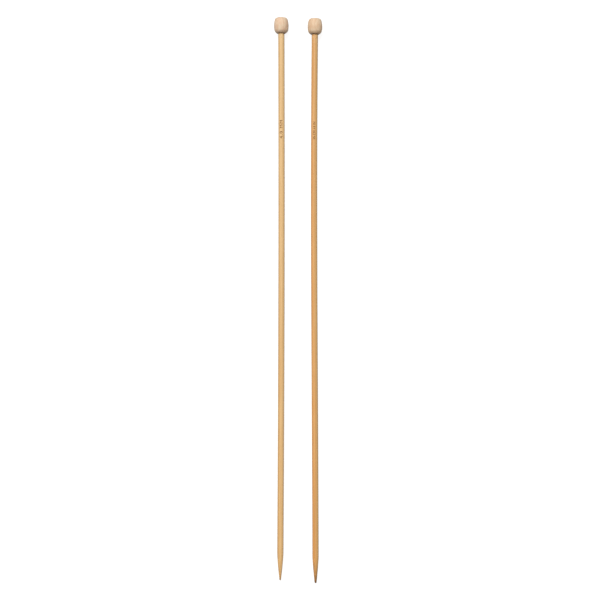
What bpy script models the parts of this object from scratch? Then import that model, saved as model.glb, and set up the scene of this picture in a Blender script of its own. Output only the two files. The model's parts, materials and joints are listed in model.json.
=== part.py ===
"""A pair of single-pointed wooden knitting needles, lying side by side with their heads the same way.

Each needle is a turned shaft, tapered to a blunt point, and a barrel-shaped head with a blind bore that
the shaft is glued into. Metres, +Z up, origin on the table under the middle of the pair, +Y towards the
heads. Lengths along a needle, called stations, are counted from the outer end of its head.
"""

from math import acos, atan, atan2, cos, pi, radians, sin, sqrt

import bmesh
import bpy
from mathutils import Euler, Vector

# Shaft
SHAFT_DIAMETER = 0.0040  # the knitting size of the needle
SHAFT_END_CHAMFER = 0.0004  # on the end that goes into the head
STRAIGHT_RINGS = 16  # rings along the full-width part, which follow the bow
POINT_RINGS = 8  # rings along the taper
NOSE_RINGS = 3  # rings round the blunt end
NOSE_LENGTH_RATIO = 0.8  # length of the rounded nose, in end radii

# Head
HEAD_DIAMETER = 0.0092
HEAD_HEIGHT = 0.0100
HEAD_SIDE_RADIUS = 0.0137  # bulge of the barrel's side, as seen in profile
OUTER_EDGE_RADIUS = 0.0015
SHAFT_EDGE_RADIUS = 0.0030
BORE_DEPTH = 0.0072
BORE_MOUTH_CHAMFER = 0.0003
DRILL_POINT_ANGLE = radians(118)  # cone left by the drill
GLUE_FILM = 0.0001  # between shaft and bore, all round
BORE_END_GAP = 0.0003  # between the shaft's end and the bottom of the bore

# Layout on the table
HEAD_SPACING = 0.0212  # between the two head centres
ROW_LENGTH = 0.3563  # from the left head's outer end to the right point's end
SEGMENTS = 24  # facets round every turned piece
EDGE_STEPS = 5  # along each rounded edge of a head
SIDE_STEPS = 4  # along each half of its barrel
SHARP_ANGLE = radians(35)  # edges sharper than this keep their crease when shaded
MERGE_DISTANCE = 1e-6
WOOD_ROUGHNESS = 0.5

# The bow is the natural bend of the wood: its height, which way it goes and how far along it peaks.
# The lean turns a needle about its head, and is positive where its point moves towards +X.
NEEDLES = {
    "left": {
        "side": -1,
        "length": 0.3546,
        "point_length": 0.0182,
        "end_radius": 0.00045,
        "point_power": 1.5,
        "lean": radians(-0.117),
        "bow": 0.00045,
        "bow_peak": 0.47,
        "shaft_colour": (0.78, 0.56, 0.30, 1),
        "head_colour": (0.75, 0.58, 0.41, 1),
    },
    "right": {
        "side": 1,
        "length": 0.3557,
        "point_length": 0.0167,
        "end_radius": 0.00065,
        "point_power": 1.25,
        "lean": radians(0.055),
        "bow": -0.00072,
        "bow_peak": 0.34,
        "shaft_colour": (0.76, 0.42, 0.16, 1),
        "head_colour": (0.74, 0.56, 0.40, 1),
    },
}

SHAFT_RADIUS = SHAFT_DIAMETER / 2
HEAD_RADIUS = HEAD_DIAMETER / 2
BELLY = HEAD_HEIGHT / 2  # station of the head's widest ring
BORE_RADIUS = SHAFT_RADIUS + GLUE_FILM
BORE_BOTTOM = HEAD_HEIGHT - BORE_DEPTH  # station of the end of the bore's straight wall


def arc(centre, radius, start, end, steps):
    """Points (radius from the needle's axis, station) along an arc, both ends included."""
    turns = [start + (end - start) * i / steps for i in range(steps + 1)]
    return [(centre[0] + radius * cos(a), centre[1] + radius * sin(a)) for a in turns]


def edge_centre(station, edge_radius):
    """Centre of an edge rounding that touches the barrel's side from inside."""
    side_centre = HEAD_RADIUS - HEAD_SIDE_RADIUS
    reach = sqrt((HEAD_SIDE_RADIUS - edge_radius) ** 2 - (station - BELLY) ** 2)
    return side_centre + reach, station


def head_outline():
    """From the middle of the outer end, over the barrel and down into the bore."""
    side_centre = (HEAD_RADIUS - HEAD_SIDE_RADIUS, BELLY)
    outer = edge_centre(OUTER_EDGE_RADIUS, OUTER_EDGE_RADIUS)
    inner = edge_centre(HEAD_HEIGHT - SHAFT_EDGE_RADIUS, SHAFT_EDGE_RADIUS)
    outer_turn = atan2(outer[1] - BELLY, outer[0] - side_centre[0])
    inner_turn = atan2(inner[1] - BELLY, inner[0] - side_centre[0])
    mouth_radius = BORE_RADIUS + BORE_MOUTH_CHAMFER
    mouth_turn = acos((mouth_radius - inner[0]) / SHAFT_EDGE_RADIUS)

    points = [(0, 0)]
    points += arc(outer, OUTER_EDGE_RADIUS, -pi / 2, outer_turn, EDGE_STEPS)
    points += arc(side_centre, HEAD_SIDE_RADIUS, outer_turn, 0, SIDE_STEPS)[1:]
    points += arc(side_centre, HEAD_SIDE_RADIUS, 0, inner_turn, SIDE_STEPS)[1:]
    points += arc(inner, SHAFT_EDGE_RADIUS, inner_turn, mouth_turn, EDGE_STEPS)[1:]
    mouth_station = points[-1][1]
    cone_depth = BORE_RADIUS / sin(DRILL_POINT_ANGLE / 2) * cos(DRILL_POINT_ANGLE / 2)
    points += [
        (BORE_RADIUS, mouth_station - BORE_MOUTH_CHAMFER),
        (BORE_RADIUS, BORE_BOTTOM),
        (0, BORE_BOTTOM - cone_depth),
    ]
    return points


def shaft_outline(needle):
    """From the middle of the end inside the head to the very end of the point."""
    length = needle["length"]
    end_radius = needle["end_radius"]
    start = BORE_BOTTOM + BORE_END_GAP
    full_start = start + SHAFT_END_CHAMFER
    taper_start = length - needle["point_length"]
    nose_start = length - NOSE_LENGTH_RATIO * end_radius
    taper = nose_start - taper_start

    points = [(0, start), (SHAFT_RADIUS - SHAFT_END_CHAMFER, start)]
    for i in range(STRAIGHT_RINGS + 1):
        points.append((SHAFT_RADIUS, full_start + (taper_start - full_start) * i / STRAIGHT_RINGS))
    for i in range(1, POINT_RINGS + 1):
        along = i / POINT_RINGS
        radius = SHAFT_RADIUS - (SHAFT_RADIUS - end_radius) * along ** needle["point_power"]
        points.append((radius, taper_start + taper * along))
    for i in range(1, NOSE_RINGS + 1):
        turn = pi / 2 * i / NOSE_RINGS
        points.append((end_radius * cos(turn), nose_start + (length - nose_start) * sin(turn)))
    points[-1] = (0, length)
    return points


def bow_shape(needle):
    """Exponent of the bow's curve t * (1 - t) ** power, and its height at the peak."""
    peak = needle["bow_peak"]
    power = (1 - peak) / peak
    return power, peak * (1 - peak) ** power


def bow_offset(needle, station):
    """How far the shaft's centre line has left the head's axis, which it starts along."""
    power, height = bow_shape(needle)
    t = min(station / needle["length"], 1)
    return needle["bow"] / height * (t * (1 - t) ** power - t)


def rest_tilt(outline):
    """Angle at which the needle lies on its head's belly and on its shaft, where it tapers."""
    beyond_head = [(r, s) for r, s in outline if s > HEAD_HEIGHT]
    return min(atan2(HEAD_RADIUS - r, s - BELLY) for r, s in beyond_head)


def wood(name, colour):
    """Plain unvarnished wood."""
    material = bpy.data.materials.new(name)
    material.use_nodes = True
    shader = material.node_tree.nodes["Principled BSDF"]
    shader.inputs["Base Color"].default_value = colour
    shader.inputs["Roughness"].default_value = WOOD_ROUGHNESS
    shader.inputs["Metallic"].default_value = 0
    material.diffuse_color = colour
    return material


def turned(name, outline, material, parent):
    """A closed solid of revolution about the parent's Y axis, whose outline starts and ends on that axis."""
    bm = bmesh.new()
    verts = [bm.verts.new((radius, BELLY - station, 0)) for radius, station in outline]
    edges = [bm.edges.new(pair) for pair in zip(verts, verts[1:])]
    bmesh.ops.spin(
        bm,
        geom=verts + edges,
        axis=(0, 1, 0),
        cent=(0, 0, 0),
        angle=2 * pi,
        steps=SEGMENTS,
        use_merge=True,
    )
    bmesh.ops.remove_doubles(bm, verts=bm.verts, dist=MERGE_DISTANCE)
    bmesh.ops.recalc_face_normals(bm, faces=bm.faces)
    mesh = bpy.data.meshes.new(name)
    bm.to_mesh(mesh)
    bm.free()
    mesh.shade_smooth()
    mesh.set_sharp_from_angle(angle=SHARP_ANGLE)
    mesh.materials.append(material)
    piece = bpy.data.objects.new(name, mesh)
    piece.parent = parent
    bpy.context.collection.objects.link(piece)
    return piece


def place_needle(name, needle, tilt):
    """An empty at the middle of the head's belly, with Y along the head's axis."""
    height = bow_shape(needle)[1]
    start_angle = atan(needle["bow"] / height / needle["length"])  # of the bowed line to its chord
    turned_by = Euler((tilt, 0, needle["lean"] + start_angle))
    point = Vector((bow_offset(needle, needle["length"]), BELLY - needle["length"], 0))
    outer_end = Vector((0, BELLY, 0))
    if needle["side"] < 0:
        y = ROW_LENGTH / 2 - (turned_by.to_matrix() @ outer_end).y
    else:
        y = -ROW_LENGTH / 2 - (turned_by.to_matrix() @ point).y
    place = bpy.data.objects.new(name + "_needle", None)
    place.rotation_euler = turned_by
    place.location = (needle["side"] * HEAD_SPACING / 2, y, HEAD_RADIUS * cos(tilt))
    bpy.context.collection.objects.link(place)
    return place


def bend(shaft, needle):
    """Shifts every ring of the shaft sideways to follow the bow."""
    for vertex in shaft.data.vertices:
        vertex.co.x += bow_offset(needle, BELLY - vertex.co.y)


def build():
    for item in list(bpy.data.objects):
        bpy.data.objects.remove(item)
    for name, needle in NEEDLES.items():
        outline = shaft_outline(needle)
        place = place_needle(name, needle, rest_tilt(outline))
        shaft = turned(name + "_shaft", outline, wood(name + "_shaft", needle["shaft_colour"]), place)
        bend(shaft, needle)
        turned(name + "_head", head_outline(), wood(name + "_head", needle["head_colour"]), place)


build()
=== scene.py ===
import json
from math import acos, atan2, cos, pi, radians, sin, sqrt

import bmesh
import bpy
from mathutils import Matrix, Vector, noise


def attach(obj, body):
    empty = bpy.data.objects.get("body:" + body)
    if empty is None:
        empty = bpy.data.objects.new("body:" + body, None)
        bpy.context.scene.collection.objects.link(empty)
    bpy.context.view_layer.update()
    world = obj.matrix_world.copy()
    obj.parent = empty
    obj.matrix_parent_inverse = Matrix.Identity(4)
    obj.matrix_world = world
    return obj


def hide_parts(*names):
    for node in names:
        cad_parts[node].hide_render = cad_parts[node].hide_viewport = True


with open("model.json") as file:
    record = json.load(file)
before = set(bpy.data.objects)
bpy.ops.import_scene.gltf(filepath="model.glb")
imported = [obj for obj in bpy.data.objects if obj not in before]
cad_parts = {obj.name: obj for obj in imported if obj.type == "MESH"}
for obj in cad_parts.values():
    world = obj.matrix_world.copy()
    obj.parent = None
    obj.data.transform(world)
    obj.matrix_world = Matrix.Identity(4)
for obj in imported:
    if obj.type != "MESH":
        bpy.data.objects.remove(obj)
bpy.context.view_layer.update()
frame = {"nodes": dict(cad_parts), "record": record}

# A pair of single-pointed bamboo knitting needles with turned wooden heads, lying on a table.
# Metres. A needle's own frame has its origin at the middle of the head's outer end and +Y out of it,
# so a station, the distance from that end towards the point, is -Y there.

mm = 0.001
touching = 0.001 * mm  # points this close are one


class Strand:
    # one socket; each operator on it adds a Math node
    def __init__(self, tree, socket=None):
        self.tree = tree
        self.socket = socket

    def node(self, kind, settings=None, sockets=None, out=0):
        # settings come first, because some of them change which sockets the node has
        made = self.tree.nodes.new(kind)
        for name, value in (settings or {}).items():
            setattr(made, name, value)
        for name, value in (sockets or {}).items():
            if isinstance(value, Strand):
                self.tree.links.new(value.socket, made.inputs[name])
            else:
                made.inputs[name].default_value = value
        return Strand(self.tree, made.outputs[out])

    def maths(self, operation, *values):
        return self.node("ShaderNodeMath", {"operation": operation}, dict(enumerate(values)))

    def through(self, operation):
        # for an operation on one value, such as SINE
        return self.maths(operation, self)

    def __add__(self, other):
        return self.maths("ADD", self, other)

    def __radd__(self, other):
        return self.maths("ADD", other, self)

    def __sub__(self, other):
        return self.maths("SUBTRACT", self, other)

    def __rsub__(self, other):
        return self.maths("SUBTRACT", other, self)

    def __mul__(self, other):
        return self.maths("MULTIPLY", self, other)

    def __rmul__(self, other):
        return self.maths("MULTIPLY", other, self)

    def __truediv__(self, other):
        return self.maths("DIVIDE", self, other)

    def __pow__(self, other):
        return self.maths("POWER", self, other)

    def clamped(self, low=0, high=1):
        return self.maths("MINIMUM", self.maths("MAXIMUM", self, low), high)

    def rise(self, low, high):
        # 0 below low, 1 above high, smooth between
        steps = {"Value": self, "From Min": low, "From Max": high}
        return self.node("ShaderNodeMapRange", {"interpolation_type": "SMOOTHSTEP"}, steps)

    def vector(self, x, y, z):
        return self.node("ShaderNodeCombineXYZ", None, {"X": x, "Y": y, "Z": z})

    def parts(self):
        split = self.node("ShaderNodeSeparateXYZ", None, {0: self}).socket.node
        return [Strand(self.tree, split.outputs[axis]) for axis in "XYZ"]

    def cloud(self, vector, scale=1, detail=2, roughness=0.5):
        sockets = {"Vector": vector, "Scale": scale, "Detail": detail, "Roughness": roughness}
        return self.node("ShaderNodeTexNoise", None, sockets)

    def tint(self, under, over, amount):
        # one colour over another; amount 0 leaves the one below
        return self.node("ShaderNodeMix", {"data_type": "RGBA"}, {0: amount, 6: under, 7: over}, out=2)


def drawnOut(place, pattern, shift=0):
    # noise drawn out along Y; a pattern says how often it varies in one unit of place, across and along
    x, y, z = place
    across, along = pattern["across"], pattern["along"]
    spot = x.vector(x * across + shift, y * along, z * across)
    return x.cloud(spot, detail=pattern["detail"], roughness=pattern.get("roughness", 0.5))


def paint(red, green, blue):
    # colour picker numbers, 0 to 255, as the linear colour that a shader takes
    def linear(value):
        part = value / 255
        return part / 12.92 if part <= 0.04045 else ((part + 0.055) / 1.055) ** 2.4

    return (linear(red), linear(green), linear(blue), 1)


# Camera, straight above the pair

camera = {
    "height": 0.78,  # above the table
    "overX": 0.55 * mm,  # the point of the table under it
    "overY": 1.25 * mm,
    "widthInView": 376.7 * mm,  # at the height of the shafts
    "shaftHeight": 4 * mm,  # about how high they lie
    "sensor": 36.0,
    "nearest": 0.05,
    "furthest": 20,
}


def makeCamera(settings):
    data = bpy.data.cameras.new("overhead")
    data.sensor_width = settings["sensor"]
    reach = settings["height"] - settings["shaftHeight"]
    data.lens = settings["sensor"] * reach / settings["widthInView"]
    data.clip_start = settings["nearest"]
    data.clip_end = settings["furthest"]
    overhead = bpy.data.objects.new("overhead", data)  # unturned, so it looks down with +Y at the top
    overhead.location = (settings["overX"], settings["overY"], settings["height"])
    bpy.context.scene.collection.objects.link(overhead)
    bpy.context.scene.camera = overhead


makeCamera(camera)
print("camera placed")


# What the frame says about each needle

def needlePlace(side):
    # from the mount on the head's outer end, with +X across the pair and +Z up
    mounts = frame["record"]["mounts"]
    endFace = next(m for m in mounts if m["name"] == side + "_head_end_face")
    along = Vector(endFace["axis"]).normalized()
    across = along.cross(Vector((0, 0, 1))).normalized()
    place = Matrix((across, along, across.cross(along))).transposed().to_4x4()
    place.translation = Vector(endFace["pos_m"])
    return place


def measureNode(node, place):
    # start station, end station and radius, in the needle's own frame
    back = place.inverted()
    points = [back @ v.co for v in frame["nodes"][node].data.vertices]
    stations = [-p.y for p in points]
    return min(stations), max(stations), max(abs(p.z) for p in points)


# the natural bend of each shaft: its height, and how far along it peaks
needles = {
    "left": {"bow": 0.45 * mm, "bowPeak": 0.47},
    "right": {"bow": -0.72 * mm, "bowPeak": 0.34},
}

for side, needle in needles.items():
    needle["place"] = needlePlace(side)
    needle["start"], needle["length"], needle["radius"] = measureNode(side + "_shaft", needle["place"])
    needle["headRadius"] = measureNode(side + "_head", needle["place"])[2]
    power = (1 - needle["bowPeak"]) / needle["bowPeak"]
    needle["bowPower"] = power
    # sideways reach of the curve t(1-t)^power whose peak is the bow
    needle["bowScale"] = needle["bow"] / (needle["bowPeak"] * (1 - needle["bowPeak"]) ** power)


# Geometry node trees

def startTree(name, inputs):
    tree = bpy.data.node_groups.new(name, "GeometryNodeTree")
    for label, kind in inputs.items():
        tree.interface.new_socket(label, in_out="INPUT", socket_type="NodeSocket" + kind)
    tree.interface.new_socket("Geometry", in_out="OUTPUT", socket_type="NodeSocketGeometry")
    entry = tree.nodes.new("NodeGroupInput")
    return {label: Strand(tree, entry.outputs[label]) for label in inputs}


def endTree(solid, material):
    # every tree ends the same way, in one real mesh with its finish on
    whole = solid.node("GeometryNodeRealizeInstances", None, {"Geometry": solid})
    smooth = solid.node("GeometryNodeSetShadeSmooth", None, {"Geometry": whole})
    dressed = solid.node("GeometryNodeSetMaterial", None, {"Geometry": smooth, "Material": material})
    leave = solid.tree.nodes.new("NodeGroupOutput")
    solid.tree.links.new(dressed.socket, leave.inputs["Geometry"])
    return solid.tree


def growPiece(name, tree, values, place, blank=None):
    # runs a tree on a blank, keeps the result as a plain mesh and puts it in its place
    piece = bpy.data.objects.new(name, blank or bpy.data.meshes.new(name))
    bpy.context.scene.collection.objects.link(piece)
    growth = piece.modifiers.new("growth", "NODES")
    growth.node_group = tree
    for item in tree.interface.items_tree:
        if item.in_out == "INPUT" and item.name in values:
            growth[item.identifier] = values[item.name]
    graph = bpy.context.evaluated_depsgraph_get()
    grown = bpy.data.meshes.new_from_object(
        piece.evaluated_get(graph), preserve_all_data_layers=True, depsgraph=graph)
    piece.modifiers.clear()
    piece.data = grown
    grown.name = name
    finish = grown.materials[-1]  # after the empty slot that a cylinder or a letter brings
    grown.materials.clear()
    grown.materials.append(finish)
    grown.polygons.foreach_set("material_index", [0] * len(grown.polygons))
    grown.transform(place)
    return piece


def bowAt(given, station):
    # sideways place of the bowed centre line, which leaves the head along the head's axis
    t = (station / given["Length"]).clamped()
    return given["Bow Scale"] * (t * (1 - t) ** given["Bow Power"] - t)


# Shafts: a rod ground round, tapered and sanded to a blunt point

shaftShape = {
    "facets": 96,
    "rings": 260,
    "noseRatio": 0.8,  # length of the rounded nose, in end radii
    "sandingDip": 0.03 * mm,  # how far hand sanding wanders from true
    "grooveDip": 0.016 * mm,  # soft wood worn down between the fibres
    # where it does: in one radius across the rod, and in one metre along it
    "sanding": {"across": 0.7, "along": 55, "detail": 1},
    "grooves": {"across": 4.8, "along": 22, "detail": 2},
    "left": {"pointLength": 18.2 * mm, "endRadius": 0.45 * mm, "pointPower": 1.5, "seed": 3.1},
    "right": {"pointLength": 16.7 * mm, "endRadius": 0.65 * mm, "pointPower": 1.25, "seed": 17.7},
}


def sandingDip(given, acrossX, acrossZ, station):
    # how far the surface lies under a true rod's, because both only take wood away
    place = (acrossX, station, acrossZ)
    sanding = drawnOut(place, shaftShape["sanding"], given["Seed"])
    grooves = drawnOut(place, shaftShape["grooves"], given["Seed"])
    return sanding * given["Sanding Dip"] + grooves.rise(0.42, 0.75) * given["Groove Dip"]


def shaftTree():
    given = startTree("turnedShaft", {
        "Facets": "Int", "Rings": "Int", "Start": "Float", "Length": "Float", "Radius": "Float",
        "Point Length": "Float", "End Radius": "Float", "Point Power": "Float", "Nose Ratio": "Float",
        "Bow Scale": "Float", "Bow Power": "Float", "Sanding Dip": "Float", "Groove Dip": "Float",
        "Seed": "Float", "Finish": "Material"})
    length, radius = given["Length"], given["Radius"]

    # a unit cylinder along Z, whose rings are then spread along the rod, closest at the point
    blank = length.node("GeometryNodeMeshCylinder", {"fill_type": "TRIANGLE_FAN"}, {
        "Vertices": given["Facets"], "Side Segments": given["Rings"], "Radius": 1.0, "Depth": 1.0})
    roundX, roundZ, level = length.node("GeometryNodeInputPosition").parts()
    start = given["Start"]
    station = start + (length - start) * (1 - (0.5 - level) ** 2)

    nose = given["End Radius"] * given["Nose Ratio"]
    noseStart = length - nose
    taperStart = length - given["Point Length"]
    taper = ((station - taperStart) / (noseStart - taperStart)).clamped() ** given["Point Power"]
    rounding = ((station - noseStart) / nose).clamped()
    body = radius - (radius - given["End Radius"]) * taper

    dip = sandingDip(given, roundX, roundZ, station) * (1 - rounding) * (body / radius)
    girth = (body - dip) * (1 - rounding ** 2) ** 0.5

    grain = length.vector(roundX * girth / mm, station * (-1 / mm), roundZ * girth / mm)
    marked = length.node(
        "GeometryNodeStoreNamedAttribute", {"data_type": "FLOAT_VECTOR", "domain": "POINT"},
        {"Geometry": blank, "Name": "grainPlace", "Value": grain})
    spot = length.vector(roundX * girth + bowAt(given, station), station * -1, roundZ * girth)
    turned = length.node("GeometryNodeSetPosition", None, {"Geometry": marked, "Position": spot})
    closed = length.node("GeometryNodeMergeByDistance", None, {"Geometry": turned, "Distance": touching})
    return endTree(closed, given["Finish"])


# Bamboo

bamboo = {
    "bundleGap": 0.62,  # mm between the fibre bundles
    "bundleWander": 0.35,  # mm that a bundle drifts sideways
    "wanderLength": 70,  # mm of rod in which it does
    # how often each of these varies in a mm across the rod, and in a mm along it
    "fine": {"across": 9, "along": 0.1, "detail": 3, "roughness": 0.6},
    "thread": {"across": 15, "along": 0.07, "detail": 2, "roughness": 0.65},
    "streak": {"across": 1.7, "along": 0.018, "detail": 2},
    "patch": {"across": 0.3, "along": 0.03, "detail": 2},
    "dash": {"across": 4.2, "along": 0.42, "detail": 1},
    "nick": {"across": 8, "along": 0.9, "detail": 1},
    "pointStreak": {"across": 3.2, "along": 0.12, "detail": 2},
    "dashDark": 0.55,
    "nickDark": 0.4,
    "endStart": 2.4,  # mm from the very end: where its darkening starts, and where it is full
    "endFull": 0.7,
    "scuff": paint(246, 226, 186),
    "scuffPale": 0.5,
    "smudgeDark": 0.55,
    "scuffFull": 11.5,  # stations in mm: scuffed up to the first, and not at all beyond the second
    "scuffEnd": 16.5,
    "reliefStrength": 0.45,
    "reliefDepth": 0.03 * mm,
    "wax": 0.12,  # a thin rub of it
    "waxRoughness": 0.38,
    "specular": 0.42,
    "left": {
        "pale": paint(240, 208, 156),
        "warm": paint(218, 172, 110),
        "strand": paint(168, 116, 62),
        "tip": paint(142, 102, 64),
        "inner": paint(228, 188, 132),  # painted shade, for the side of the rod away from the key light
        "skinSide": 200,  # degrees round the rod to the culm's skin, where the strands are densest; the painted shade lies opposite
        "skinDark": 0.34,
        "warmHead": 0.18,  # warmth at the head and at the point
        "warmPoint": 0.75,
        "tipReach": 11,  # mm of darkened wood at the point
        "tipDark": 0.5,
        "tipMost": 1.0,  # the most of it, at the very end
        "shift": 0.0,
    },
    "right": {
        "pale": paint(232, 188, 130),
        "warm": paint(218, 154, 84),
        "strand": paint(156, 98, 44),
        "tip": paint(84, 48, 16),
        # painted shade, for the side of the rod away from the key light
        "inner": paint(204, 174, 116),
        "skinSide": 186,
        "skinDark": 0.5,
        "warmHead": 0.5,
        "warmPoint": 0.65,
        "tipReach": 16,
        "tipDark": 0.75,
        "tipMost": 0.86,
        "shift": 40.0,
    },
}


def newMaterial(name):
    material = bpy.data.materials.new(name)
    material.use_nodes = True
    tree = material.node_tree
    shader = tree.nodes["Principled BSDF"]
    return material, Strand(tree), shader


def wire(shader, name, value):
    shader.id_data.links.new(value.socket, shader.inputs[name])


def bumped(bench, height, settings):
    depth = {"Strength": settings["reliefStrength"], "Distance": settings["reliefDepth"]}
    return bench.node("ShaderNodeBump", None, {"Height": height, **depth})


def bambooFinish(side, needle):
    look = bamboo[side]
    material, bench, shader = newMaterial(side + "Bamboo")
    grain = bench.node("ShaderNodeAttribute", {"attribute_name": "grainPlace"}, out=1)
    x, y, z = grain.parts()
    length = needle["length"] / mm
    station = y * -1
    shift = look["shift"]

    def drift(seed):
        run = bench.cloud(bench.vector(y / bamboo["wanderLength"], seed, 0), detail=1)
        return (run - 0.5) * (2 * bamboo["bundleWander"])

    # fibre bundles run the whole length of the rod, drifting a little
    sectionX = (x + drift(shift) + shift) / bamboo["bundleGap"]
    sectionZ = (z + drift(shift + 9)) / bamboo["bundleGap"]
    cells = {"Vector": bench.vector(sectionX, sectionZ, 0), "Scale": 1.0, "Randomness": 0.9}
    bundleSpan = bench.node("ShaderNodeTexVoronoi", {"voronoi_dimensions": "2D"}, cells)
    bundle = 1 - bundleSpan.rise(0.16, 0.42)

    # denser towards the culm's skin
    skinX, skinZ = cos(radians(look["skinSide"])), sin(radians(look["skinSide"]))
    skin = ((x * skinX + z * skinZ) / (needle["radius"] / mm)).rise(-0.8, 1.0)

    fine = drawnOut((x, y, z), bamboo["fine"], shift)
    streak = drawnOut((x, y, z), bamboo["streak"], shift)
    patch = drawnOut((x, y, z), bamboo["patch"], shift)
    warmth = look["warmHead"] + (look["warmPoint"] - look["warmHead"]) * (station / length)
    warmth = warmth + (streak - 0.5) * 1.1 + (patch - 0.5) * 0.5 + skin * 0.25
    colour = bench.tint(look["pale"], look["warm"], warmth.clamped())
    # painted shade: the side away from the key light, opposite the culm's skin, is tinted darker
    colour = bench.tint(colour, look["inner"], (1 - skin) ** 2 * 0.4)
    strandAmount = bundle * (0.16 + look["skinDark"] * skin) + fine.rise(0.5, 0.8) * 0.16
    colour = bench.tint(colour, look["strand"], strandAmount.clamped())

    # single fibres, finer than the bundles, some pale and some dark
    thread = drawnOut((x, y, z), bamboo["thread"], shift)
    colour = bench.tint(colour, look["strand"], thread.rise(0.52, 0.68) * (0.22 + 0.18 * skin))
    colour = bench.tint(colour, look["pale"], (1 - thread.rise(0.34, 0.46)) * 0.35)

    # short dark dashes where a bundle breaks the surface, and smaller nicks elsewhere
    dash = drawnOut((x, y, z), bamboo["dash"], shift).rise(0.74, 0.8)
    nick = drawnOut((x, y, z + 0.5), bamboo["nick"], shift).rise(0.72, 0.78)
    marked = dash * bamboo["dashDark"] + nick * bamboo["nickDark"]
    colour = bench.tint(colour, look["tip"], marked.clamped())

    # the point is darker, from the end grain and from handling
    nearPoint = station.rise(length - look["tipReach"], length)
    pointStreak = drawnOut((x, y, z), bamboo["pointStreak"], shift).rise(0.35, 0.62)
    veryEnd = station.rise(length - bamboo["endStart"], length - bamboo["endFull"])
    darkened = nearPoint * pointStreak * look["tipDark"] + veryEnd * look["tipDark"]
    colour = bench.tint(colour, look["tip"], darkened.clamped(0, look["tipMost"]))

    # scuffs and a trace of glue on the first few millimetres below the head
    belowHead = 1 - station.rise(bamboo["scuffFull"], bamboo["scuffEnd"])
    scuffed = belowHead * bench.cloud(grain, scale=1.5, detail=4, roughness=0.65).rise(0.46, 0.66)
    colour = bench.tint(colour, bamboo["scuff"], scuffed * bamboo["scuffPale"])
    smudge = bench.cloud(bench.vector(x + shift, y, z - 5), scale=1.0, detail=4, roughness=0.65)
    smudged = belowHead * smudge.rise(0.52, 0.7)
    colour = bench.tint(colour, look["strand"], smudged * bamboo["smudgeDark"])
    wire(shader, "Base Color", colour)

    roughness = 0.48 + (fine - 0.5) * 0.3 + (thread - 0.5) * 0.2 - bundle * 0.07
    roughness = roughness + scuffed * 0.1 - nearPoint * 0.08
    wire(shader, "Roughness", roughness.clamped(0.3, 0.75))

    relief = fine * 0.5 - thread * 0.35 + bundle * 0.35 - dash * 0.6 - nick * 0.4 + streak * 0.3
    wire(shader, "Normal", bumped(bench, relief, bamboo))
    shader.inputs["Coat Weight"].default_value = bamboo["wax"]
    shader.inputs["Coat Roughness"].default_value = bamboo["waxRoughness"]
    shader.inputs["Specular IOR Level"].default_value = bamboo["specular"]
    return material


def makeShafts():
    tree = shaftTree()
    for side, needle in needles.items():
        shape = shaftShape[side]
        piece = growPiece(side + "ShaftBamboo", tree, {
            "Facets": shaftShape["facets"], "Rings": shaftShape["rings"], "Start": needle["start"],
            "Length": needle["length"], "Radius": needle["radius"], "Point Length": shape["pointLength"],
            "End Radius": shape["endRadius"], "Point Power": shape["pointPower"],
            "Nose Ratio": shaftShape["noseRatio"], "Bow Scale": needle["bowScale"],
            "Bow Power": needle["bowPower"], "Sanding Dip": shaftShape["sandingDip"],
            "Groove Dip": shaftShape["grooveDip"], "Seed": shape["seed"],
            "Finish": bambooFinish(side, needle)}, needle["place"])
        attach(piece, side + "_needle")
        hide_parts(side + "_shaft")


makeShafts()
print("shafts turned")


# Heads: barrel-shaped, turned from pale hardwood, bored for the shaft

headShape = {
    "height": 10.0 * mm,
    "sideRadius": 13.7 * mm,  # bulge of the barrel in profile
    "outerEdge": 1.5 * mm,
    "shaftEdge": 3.0 * mm,
    "boreSlack": 0.06 * mm,  # between the shaft and the bore, all round
    "boreDepth": 7.2 * mm,
    "mouthChamfer": 0.3 * mm,
    "facets": 128,
    "toolPitch": 0.42 * mm,  # between the fine rings that the turning tool left
    "toolDepth": 0.012 * mm,
    "unevenness": 0.035 * mm,  # the most that sanding took off
    "unevenSpan": 3.2 * mm,  # about how far it is from a low to the next
    "trueBand": 1.2 * mm,  # on each side of the belly, where neither took its full depth
    "endSteps": 8,  # of the outline, along the outer end, each rounding and the side
    "edgeSteps": 18,
    "sideSteps": 44,
    "sharpFrom": radians(38),  # edges sharper than this keep their crease
    "seeds": {"left": 2.3, "right": 8.9},
}


def arc(centre, radius, start, end, steps):
    turns = [start + (end - start) * i / steps for i in range(steps + 1)]
    return [(centre[0] + radius * cos(a), centre[1] + radius * sin(a)) for a in turns]


def headOutline(shape, headRadius, boreRadius):
    # (radius, station) from the middle of the outer end, over the barrel and down into the bore
    belly = shape["height"] / 2
    sideCentre = headRadius - shape["sideRadius"]

    def edgeCentre(station, rounding):
        reach = sqrt((shape["sideRadius"] - rounding) ** 2 - (station - belly) ** 2)
        return sideCentre + reach, station

    outer = edgeCentre(shape["outerEdge"], shape["outerEdge"])
    inner = edgeCentre(shape["height"] - shape["shaftEdge"], shape["shaftEdge"])
    outerTurn = atan2(outer[1] - belly, outer[0] - sideCentre)
    innerTurn = atan2(inner[1] - belly, inner[0] - sideCentre)
    mouthTurn = acos((boreRadius + shape["mouthChamfer"] - inner[0]) / shape["shaftEdge"])
    points = [(outer[0] * i / shape["endSteps"], 0) for i in range(shape["endSteps"])]
    points += arc(outer, shape["outerEdge"], -pi / 2, outerTurn, shape["edgeSteps"])
    points += arc((sideCentre, belly), shape["sideRadius"], outerTurn, innerTurn, shape["sideSteps"])[1:]
    points += arc(inner, shape["shaftEdge"], innerTurn, mouthTurn, shape["edgeSteps"])[1:]
    mouth = points[-1][1]
    boreEnd = shape["height"] - shape["boreDepth"]
    points += [(boreRadius, mouth - shape["mouthChamfer"]), (boreRadius, boreEnd), (0, boreEnd)]
    return points, mouth


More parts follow.
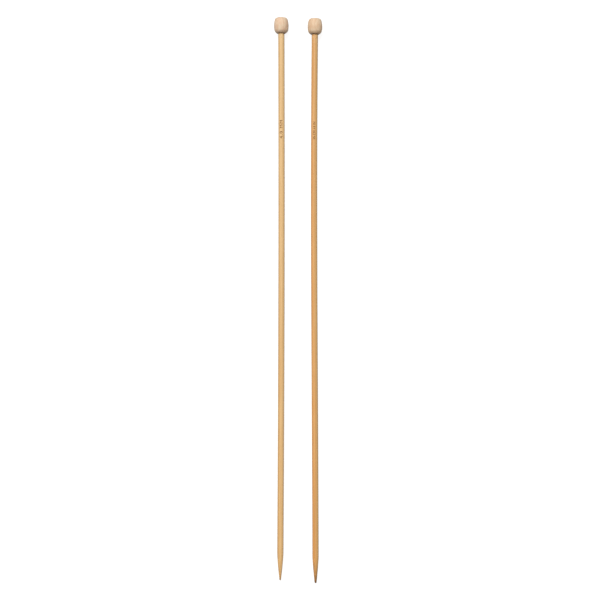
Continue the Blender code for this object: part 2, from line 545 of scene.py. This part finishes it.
def makeHead(side, needle, finish):
    shape = headShape
    seed = shape["seeds"][side]
    boreRadius = needle["radius"] + shape["boreSlack"]
    outline, needle["mouth"] = headOutline(shape, needle["headRadius"], boreRadius)
    shell = bmesh.new()
    profile = [shell.verts.new((r, -s, 0)) for r, s in outline]
    edges = [shell.edges.new(pair) for pair in zip(profile, profile[1:])]
    bmesh.ops.spin(shell, geom=profile + edges, axis=(0, 1, 0), cent=(0, 0, 0), angle=2 * pi,
                   steps=shape["facets"], use_merge=True)
    bmesh.ops.remove_doubles(shell, verts=shell.verts, dist=touching)
    bmesh.ops.recalc_face_normals(shell, faces=shell.faces)
    shell.verts.index_update()
    shell.faces.sort(key=lambda f: sum(v.index ** 2 for v in f.verts))  # spin gives them no fixed order
    for v in shell.verts:
        radius = sqrt(v.co.x ** 2 + v.co.z ** 2)
        if radius < boreRadius + shape["mouthChamfer"] / 2:
            continue  # the bore and the middle of the outer end stay true
        station = -v.co.y
        worn = 0.5 + 0.5 * noise.noise(v.co / shape["unevenSpan"] + Vector((seed, 0, 0)))
        tool = 0.5 + 0.5 * cos(2 * pi * station / shape["toolPitch"] + seed)
        cut = worn * shape["unevenness"] + tool * shape["toolDepth"]
        atBelly = max(0, 1 - abs(station - shape["height"] / 2) / shape["trueBand"])
        cut *= 1 - atBelly  # the widest ring, which the head lies on, keeps its full size
        v.co.x -= v.co.x / radius * cut
        v.co.z -= v.co.z / radius * cut
    mesh = bpy.data.meshes.new(side + "HeadTurned")
    shell.to_mesh(mesh)
    shell.free()
    mesh.shade_smooth()
    mesh.set_sharp_from_angle(angle=shape["sharpFrom"])
    mesh.materials.append(finish)
    mesh.transform(needle["place"])
    piece = bpy.data.objects.new(side + "HeadTurned", mesh)
    bpy.context.scene.collection.objects.link(piece)
    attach(piece, side + "_needle")
    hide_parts(side + "_head")


headWood = {
    "ringGap": 1.25,  # mm between the year rings
    # how often each of these varies in a mm across the grain, and in a mm along it
    "fibre": {"across": 7, "along": 0.55, "detail": 3, "roughness": 0.6},
    "mottle": {"across": 0.5, "along": 0.3, "detail": 3},
    "fleck": {"across": 8, "along": 1.5, "detail": 1},
    "left": {"pale": paint(231, 208, 181), "ring": paint(210, 176, 140), "blush": paint(226, 190, 162),
             "pith": (11.0, -7.0), "shift": 0.0},
    "right": {"pale": paint(230, 205, 175), "ring": paint(206, 171, 134), "blush": paint(222, 186, 152),
              "pith": (-9.0, -12.0), "shift": 31.0},
    "pore": paint(150, 116, 84),
    # painted shade for the rounded ends, a greyish brown
    "grimeAndShade": paint(176, 148, 118),
    "mouthShade": paint(96, 58, 16),  # painted shade round the bore, warm brown as if lit by light bounced from the shaft
    "mouthShadeReach": 1.3,  # mm from the bore
    "toolRings": 17,  # radians to a millimetre of the finest rings, which are only in the relief
    "reliefStrength": 0.4,
    "reliefDepth": 0.04 * mm,
    "specular": 0.35,
}


def headFinish(side, needle):
    look = headWood[side]
    material, bench, shader = newMaterial(side + "HeadWood")
    inRow = bench.node("ShaderNodeTexCoord", out="Object")
    own = bench.node("ShaderNodeMapping", {"vector_type": "TEXTURE"}, {
        "Vector": inRow, "Location": needle["place"].translation,
        "Rotation": needle["place"].to_euler(), "Scale": (mm, mm, mm)})
    x, y, z = own.parts()
    shift = look["shift"]

    # year rings round a pith outside the head, so the sides show long lines and the end shows arcs
    warp = (bench.cloud(own, scale=0.35, detail=2) - 0.5) * 0.9
    fromPithX = x - look["pith"][0] + y * 0.06 + warp
    fromPithZ = z - look["pith"][1] + y * 0.03
    reach = (fromPithX ** 2 + fromPithZ ** 2) ** 0.5
    year = (reach / headWood["ringGap"] + shift).through("FRACT")
    late = year.rise(0.45, 0.92) * (1 - year.rise(0.93, 1.0))

    fibre = drawnOut((x, y, z), headWood["fibre"], shift)
    mottle = drawnOut((x, y, z), headWood["mottle"], shift)
    fleck = drawnOut((x, y, z), headWood["fleck"], shift).rise(0.66, 0.76)
    colour = bench.tint(look["pale"], look["blush"], mottle.rise(0.35, 0.7))
    colour = bench.tint(colour, look["ring"], late * 0.42 + (fibre - 0.5) * 0.35)
    colour = bench.tint(colour, headWood["pore"], fleck * 0.38)

    # painted shade: the rounded ends are darkened a little, mottled like handling grime; the same mask
    # makes them a little smoother
    height = headShape["height"] / mm
    fromBelly = (y + height / 2).through("ABSOLUTE")
    wornAndShaded = fromBelly.rise(3.1, 5.2) * bench.cloud(own, scale=0.9, detail=3).rise(0.3, 0.7)
    colour = bench.tint(colour, headWood["grimeAndShade"], wornAndShaded * 0.5)

    # painted shade round the bore, on the shaft's end only, warm brown as if lit by light bounced from
    # the shaft
    fromMouth = ((x ** 2 + z ** 2) ** 0.5 - needle["radius"] / mm).clamped(0, 9) + (fibre - 0.5) * 0.5
    mouthSide = (y * -1).rise(height - 2.2, height - 1.2)
    mouthShaded = (1 - fromMouth.rise(0.1, headWood["mouthShadeReach"])) * mouthSide
    colour = bench.tint(colour, headWood["mouthShade"], mouthShaded * 0.85)
    wire(shader, "Base Color", colour)

    roughness = 0.60 + (fibre - 0.5) * 0.2 - wornAndShaded * 0.1
    wire(shader, "Roughness", roughness.clamped(0.35, 0.85))

    # rings that the turning tool left, finer than the ones in the mesh
    tool = (y * headWood["toolRings"]).through("SINE")
    relief = fibre * 0.5 - fleck * 0.7 + tool * 0.12 + late * 0.2
    wire(shader, "Normal", bumped(bench, relief, headWood))
    shader.inputs["Specular IOR Level"].default_value = headWood["specular"]
    return material


for side, needle in needles.items():
    makeHead(side, needle, headFinish(side, needle))
print("heads turned")


# Size and length marks, pressed into the wood with a hot die, reading towards the head

stamps = {
    "left": {"words": "4.0 MM", "run": 11.5 * mm, "capHeight": 1.65 * mm, "spread": 1.25},
    "right": {"words": "35 CM 14 IN", "run": 11.0 * mm, "capHeight": 1.35 * mm, "spread": 1.1},
    "firstStation": 76.0 * mm,
    "sideways": -0.6 * mm,  # from the top of the rod to the foot of the letters
    "boldness": 0.035 * mm,  # how far the die's letters spread on all sides
    "doubleCorner": 0.02 * mm,  # the typeface has corners of two vertices this close
    "curveSteps": 5,
    "strip": 0.11 * mm,  # the letters are cut into strips this narrow, to bend round the rod
    "cutWithin": touching / 100,  # a corner this close to a cut lies on it
    "mergeWithin": touching / 10,
    "proud": 0.006 * mm,
    "depth": 0.03 * mm,  # of the letters' underside below the wood
    "burnt": paint(104, 60, 18),
    "toasted": paint(168, 112, 50),
    "fibre": {"across": 9, "along": 0.3, "detail": 3, "roughness": 0.6},
    "reliefStrength": 0.4,
    "reliefDepth": 0.02 * mm,
    "specular": 0.3,
}


def embolden(sheet, reach):
    # moves the letters' outlines outwards, corners a little further, and fills them again
    moves = {}
    for edge in sheet.edges:
        if edge.is_boundary:
            loop = edge.link_loops[0]
            along = loop.link_loop_next.vert.co - loop.vert.co
            outward = along.cross(edge.link_faces[0].normal).normalized()
            for v in edge.verts:
                moves[v] = moves.get(v, Vector()) + outward
    bmesh.ops.delete(sheet, geom=sheet.faces[:], context="FACES_KEEP_BOUNDARY")
    for v, move in moves.items():
        v.co += move * (2 * reach / max(move.length_squared, 1))
    bmesh.ops.triangle_fill(sheet, edges=sheet.edges[:], use_beauty=True, normal=(0, 0, 1))


def flatLetters(mark, settings):
    # letters as a flat mesh, foot of the first one at the origin
    letters = bpy.data.curves.new("letters", "FONT")
    letters.body = mark["words"]
    letters.space_character = mark["spread"]
    letters.resolution_u = settings["curveSteps"]
    holder = bpy.data.objects.new("letters", letters)
    bpy.context.scene.collection.objects.link(holder)
    graph = bpy.context.evaluated_depsgraph_get()
    flat = bpy.data.meshes.new_from_object(holder.evaluated_get(graph), depsgraph=graph)
    bpy.data.objects.remove(holder)
    bpy.data.curves.remove(letters)

    xs, ys = [v.co.x for v in flat.vertices], [v.co.y for v in flat.vertices]
    wide, tall = max(xs) - min(xs), max(ys) - min(ys)
    stretch = Matrix.Diagonal((mark["run"] / wide, mark["capHeight"] / tall, 1, 1))
    flat.transform(stretch @ Matrix.Translation((-min(xs), -min(ys), 0)))
    sheet = bmesh.new()
    sheet.from_mesh(flat)
    bmesh.ops.remove_doubles(sheet, verts=sheet.verts, dist=settings["doubleCorner"])
    sheet.normal_update()
    embolden(sheet, settings["boldness"])
    for step in range(1, int(mark["capHeight"] / settings["strip"])):
        whole = sheet.verts[:] + sheet.edges[:] + sheet.faces[:]
        bmesh.ops.bisect_plane(sheet, geom=whole, dist=settings["cutWithin"],
                               plane_co=(0, step * settings["strip"], 0), plane_no=(0, 1, 0))
    sheet.to_mesh(flat)
    sheet.free()
    return flat


def stampTree():
    given = startTree("wrappedStamp", {
        "Letters": "Geometry", "First Station": "Float", "Sideways": "Float", "Length": "Float",
        "Radius": "Float", "Bow Scale": "Float", "Bow Power": "Float", "Sanding Dip": "Float",
        "Groove Dip": "Float", "Seed": "Float", "Proud": "Float", "Depth": "Float",
        "Merge Within": "Float", "Finish": "Material"})
    radius, depth = given["Radius"], given["Depth"]
    along, up, _ = radius.node("GeometryNodeInputPosition").parts()
    station = given["First Station"] - along
    turn = (up + given["Sideways"]) / radius
    acrossX, acrossZ = turn.through("SINE") * -1, turn.through("COSINE")
    foot = radius - sandingDip(given, acrossX, acrossZ, station) - depth
    grain = radius.vector(acrossX * foot / mm, station * (-1 / mm), acrossZ * foot / mm)
    marked = radius.node(
        "GeometryNodeStoreNamedAttribute", {"data_type": "FLOAT_VECTOR", "domain": "POINT"},
        {"Geometry": given["Letters"], "Name": "grainPlace", "Value": grain})
    spot = radius.vector(acrossX * foot + bowAt(given, station), station * -1, acrossZ * foot)
    wrapped = radius.node("GeometryNodeSetPosition", None, {"Geometry": marked, "Position": spot})

    # a closed shell: the letters' underside, and the same letters raised with their walls
    raised = radius.node("GeometryNodeExtrudeMesh", {"mode": "FACES"}, {
        "Mesh": wrapped, "Offset Scale": depth + given["Proud"], "Individual": False})
    under = radius.node("GeometryNodeFlipFaces", None, {"Mesh": wrapped})
    shell = radius.node("GeometryNodeJoinGeometry", None, {"Geometry": under})
    radius.tree.links.new(raised.socket, shell.socket.node.inputs["Geometry"])
    closed = radius.node("GeometryNodeMergeByDistance", None, {
        "Geometry": shell, "Distance": given["Merge Within"]})
    return endTree(closed, given["Finish"])


def stampFinish(settings):
    material, bench, shader = newMaterial("scorchedMark")
    grain = bench.node("ShaderNodeAttribute", {"attribute_name": "grainPlace"}, out=1)
    fibre = drawnOut(grain.parts(), settings["fibre"])
    patch = bench.cloud(grain, scale=1.4, detail=2)
    thin = (fibre.rise(0.46, 0.66) * 0.6 + patch.rise(0.45, 0.75) * 0.5).clamped()
    wire(shader, "Base Color", bench.tint(settings["burnt"], settings["toasted"], thin))
    wire(shader, "Roughness", (0.62 + (fibre - 0.5) * 0.3).clamped(0.4, 0.85))
    wire(shader, "Normal", bumped(bench, fibre, settings))
    shader.inputs["Specular IOR Level"].default_value = settings["specular"]
    return material


def makeStamps(settings):
    tree = stampTree()
    finish = stampFinish(settings)
    for side, name in (("left", "leftSizeStamp"), ("right", "rightLengthStamp")):
        needle = needles[side]
        blank = flatLetters(settings[side], settings)
        piece = growPiece(name, tree, {
            "First Station": settings["firstStation"], "Sideways": settings["sideways"],
            "Length": needle["length"], "Radius": needle["radius"], "Bow Scale": needle["bowScale"],
            "Bow Power": needle["bowPower"], "Sanding Dip": shaftShape["sandingDip"],
            "Groove Dip": shaftShape["grooveDip"], "Seed": shaftShape[side]["seed"],
            "Proud": settings["proud"], "Depth": settings["depth"],
            "Merge Within": settings["mergeWithin"], "Finish": finish}, needle["place"], blank)
        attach(piece, side + "_needle")


makeStamps(stamps)
print("marks stamped")


# Bead of hardened glue where each shaft comes out of its head, dark so that it also stands for the
# painted shade in the crevice there

glue = {
    "bead": 0.13 * mm,  # radius of the bead
    "standOff": 0.5,  # of its middle from the shaft, in bead radii
    "sunk": 0.05 * mm,  # into the mouth of the bore
    "wobble": 0.16 * mm,  # along the needle
    "facets": 96,
    "profileFacets": 12,
    # dark enough to stand for the painted shade in the crevice at the mouth
    "dark": paint(92, 58, 22),
    "amber": paint(148, 102, 46),
    "reliefStrength": 0.3,
    "reliefDepth": 0.03 * mm,
    "seeds": {"left": 5.0, "right": 12.5},
}


def beadTree():
    given = startTree("glueBead", {
        "Ring Radius": "Float", "Station": "Float", "Bead": "Float", "Wobble": "Float",
        "Facets": "Int", "Profile Facets": "Int", "Seed": "Float", "Finish": "Material"})
    radius, bead, seed = given["Ring Radius"], given["Bead"], given["Seed"]
    ring = radius.node("GeometryNodeCurvePrimitiveCircle", {"mode": "RADIUS"}, {
        "Resolution": given["Facets"], "Radius": radius})
    x, z, _ = radius.node("GeometryNodeInputPosition").parts()
    run = radius.cloud(radius.vector(x / radius * 1.6 + seed, z / radius * 1.6, 0), detail=2)
    creep = given["Station"] + (run - 0.5) * given["Wobble"]
    laid = radius.node("GeometryNodeSetPosition", None, {
        "Geometry": ring, "Position": radius.vector(x, creep * -1, z)})
    profile = radius.node("GeometryNodeCurvePrimitiveCircle", {"mode": "RADIUS"}, {
        "Resolution": given["Profile Facets"], "Radius": bead})
    lumps = radius.cloud(radius.vector(x / radius * 4 + seed, z / radius * 4, 3), detail=2)
    swept = radius.node("GeometryNodeCurveToMesh", None, {
        "Curve": laid, "Profile Curve": profile, "Scale": 0.6 + lumps * 0.8})
    return endTree(swept, given["Finish"])


def glueFinish(settings):
    material, bench, shader = newMaterial("glueDarkAsShade")
    place = bench.node("ShaderNodeTexCoord", out="Object")
    cloudy = bench.cloud(place, scale=1100, detail=3)
    wire(shader, "Base Color", bench.tint(settings["dark"], settings["amber"], cloudy.rise(0.4, 0.65)))
    wire(shader, "Roughness", (0.38 + (cloudy - 0.5) * 0.4).clamped(0.22, 0.6))
    wire(shader, "Normal", bumped(bench, cloudy, settings))
    return material


def makeBeads(settings):
    tree = beadTree()
    finish = glueFinish(settings)
    for side, needle in needles.items():
        piece = growPiece(side + "GlueBead", tree, {
            "Ring Radius": needle["radius"] + settings["bead"] * settings["standOff"],
            "Station": needle["mouth"] - settings["sunk"], "Bead": settings["bead"],
            "Wobble": settings["wobble"], "Facets": settings["facets"],
            "Profile Facets": settings["profileFacets"],
            "Seed": settings["seeds"][side], "Finish": finish}, needle["place"])
        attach(piece, side + "_needle")


makeBeads(glue)
print("glue beads laid")


# A table and soft light

studio = {
    "table": paint(128, 128, 128),
    "tableGlow": 0.9,  # the table is overexposed, so shadows on it nearly vanish
    "tableBounce": 0.32,  # what it throws back on the undersides
    "tableSize": 12.0,
    "tableRoughness": 0.9,
    "tableSpecular": 0.1,
    "room": (1.0, 1.0, 1.0, 1),
    "roomLight": 0.28,  # how much the pale room fills the shadows
    "fill": (1.0, 0.94, 0.85, 1),  # tone of that light
    "key": {"from": (-0.22, 0.62, 1.0), "spread": radians(36), "power": 2.95, "tone": (1.0, 0.99, 0.98)},
}


def makeStudio(settings):
    half = settings["tableSize"] / 2
    mesh = bpy.data.meshes.new("tableTop")
    corners = [(-half, -half, 0), (half, -half, 0), (half, half, 0), (-half, half, 0)]
    mesh.from_pydata(corners, [], [(0, 1, 2, 3)])
    table = bpy.data.objects.new("tableTop", mesh)
    bpy.context.scene.collection.objects.link(table)
    material, bench, shader = newMaterial("paleTable")
    shader.inputs["Base Color"].default_value = settings["table"]
    shader.inputs["Roughness"].default_value = settings["tableRoughness"]
    shader.inputs["Specular IOR Level"].default_value = settings["tableSpecular"]
    direct = bench.node("ShaderNodeLightPath")  # 1 where the camera sees the table itself
    glow = settings["tableBounce"] + (settings["tableGlow"] - settings["tableBounce"]) * direct
    black = (0, 0, 0, 1)
    wire(shader, "Emission Color", bench.tint(black, settings["room"], glow))
    shader.inputs["Emission Strength"].default_value = 1.0
    mesh.materials.append(material)

    world = bpy.data.worlds.new("paleRoom")
    bpy.context.scene.world = world
    world.use_nodes = True
    bench = Strand(world.node_tree)
    direct = bench.node("ShaderNodeLightPath")  # 1 where the camera sees the room itself
    background = world.node_tree.nodes["Background"]
    tone = bench.tint(settings["fill"], settings["room"], direct)
    world.node_tree.links.new(tone.socket, background.inputs["Color"])
    strength = settings["roomLight"] + (1 - settings["roomLight"]) * direct
    world.node_tree.links.new(strength.socket, background.inputs["Strength"])

    key = settings["key"]
    lamp = bpy.data.lights.new("keyLight", "SUN")
    lamp.angle = key["spread"]
    lamp.energy = key["power"]
    lamp.color = key["tone"]
    holder = bpy.data.objects.new("keyLight", lamp)
    holder.rotation_euler = (Vector(key["from"]) * -1).to_track_quat("-Z", "Y").to_euler()
    bpy.context.scene.collection.objects.link(holder)
    bpy.context.scene.view_settings.view_transform = "Standard"


makeStudio(studio)
print("studio lit")
